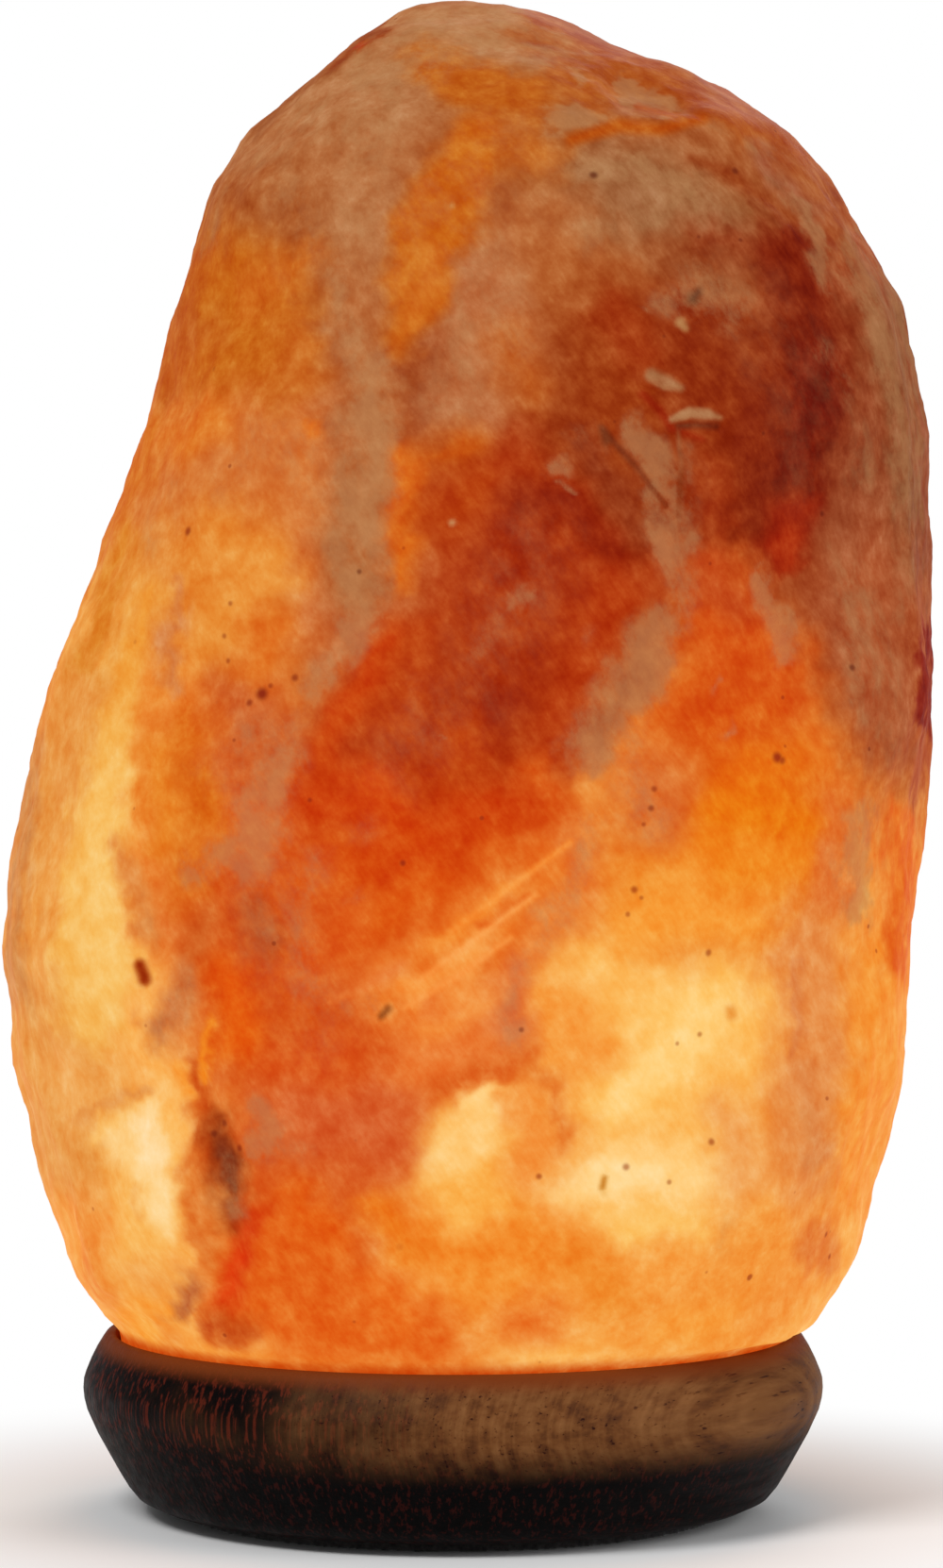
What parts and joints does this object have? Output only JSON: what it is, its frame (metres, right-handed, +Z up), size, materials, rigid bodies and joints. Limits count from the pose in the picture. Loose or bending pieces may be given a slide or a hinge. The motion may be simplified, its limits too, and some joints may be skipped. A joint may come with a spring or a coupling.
{
  "type": "salt crystal lamp",
  "caption": "Table lamp: a rough hollowed salt crystal on a round dark wooden base, lit from inside by a small screw-in bulb in a clip-held lampholder.",
  "frame": {"origin": "centre of the foot, on the table", "axes": "+Z up; -Y is the front that the picture shows; +Y is the back, where the cord groove leaves the base; +X is to the viewer's right"},
  "size_m": [0.1583, 0.1275, 0.2546],
  "materials": {
    "rock_salt": "rough translucent rock salt, lit from inside: orange-red with cream and pink-grey veins",
    "dark_wood": "dark brown stained hardwood, satin lacquer",
    "felt": "black felt",
    "zinc_steel": "zinc-plated steel",
    "spring_steel": "bright spring steel",
    "painted_plate": "black painted sheet steel",
    "brass": "bare brass",
    "black_plastic": "black moulded plastic",
    "grey_nylon": "grey nylon",
    "white_ceramic": "white glazed steatite",
    "clear_glass": "clear bulb glass",
    "black_glass": "black glass bead",
    "cap_metal": "nickel-plated thin sheet",
    "solder": "solder",
    "nickel_wire": "nickel wire",
    "tungsten": "coiled tungsten, glowing"
  },
  "bodies": {
    "holder": {"nipple": "zinc_steel", "inlet_bush": "black_plastic", "nipple_nut": "zinc_steel", "washer": "zinc_steel", "cover_plate": "painted_plate", "clip_bracket": "spring_steel", "holder_cap": "black_plastic", "holder_body": "black_plastic", "contact_block": "white_ceramic", "terminal_blocks": "brass", "terminal_screws": "zinc_steel", "screw_shell": "brass", "centre_contact": "brass"},
    "lamp_body": {"felt_ring": "felt", "wood_base": "dark_wood", "base_screws": "zinc_steel", "wall_plugs": "grey_nylon", "salt_crystal": "rock_salt"},
    "clip_right": {"clip_right": "spring_steel"},
    "clip_left": {"clip_left": "spring_steel"},
    "bulb_rise": {"bulb_tip": "solder"},
    "bulb": {"bulb_insulator": "black_glass", "bulb_cap": "cap_metal", "bulb_envelope": "clear_glass", "bulb_stem": "clear_glass", "lead_wires": "nickel_wire", "filament": "tungsten", "support_wire": "nickel_wire"}
  },
  "joints": [
    {"name": "lamp_lift", "type": "slide", "parent": "holder", "child": "lamp_body", "axis": [0, 0, 1], "range_m": [0, 0.11]},
    {"name": "clip_right_bend", "type": "hinge", "parent": "holder", "child": "clip_right", "pos_m": [0.017, 0, 0.0166], "axis": [0, -1, 0], "range_deg": [0, 8], "stiffness_Nm_per_rad": 0.2, "springref_deg": -5.73},
    {"name": "clip_left_bend", "type": "hinge", "parent": "holder", "child": "clip_left", "pos_m": [-0.017, 0, 0.0166], "axis": [0, 1, 0], "range_deg": [0, 8], "stiffness_Nm_per_rad": 0.2, "springref_deg": -5.73},
    {"name": "bulb_unscrew_rise", "type": "slide", "parent": "holder", "child": "bulb_rise", "axis": [0, 0, 1], "range_m": [0, 0.01412]},
    {"name": "bulb_unscrew", "type": "hinge", "parent": "bulb_rise", "child": "bulb", "pos_m": [0, 0, 0.04], "axis": [0, 0, 1], "range_deg": [0, 1800]}
  ],
  "couplings": [
    {"joint": "bulb_unscrew_rise", "follows": "bulb_unscrew", "m_per_rad": 0.00044914}
  ]
}
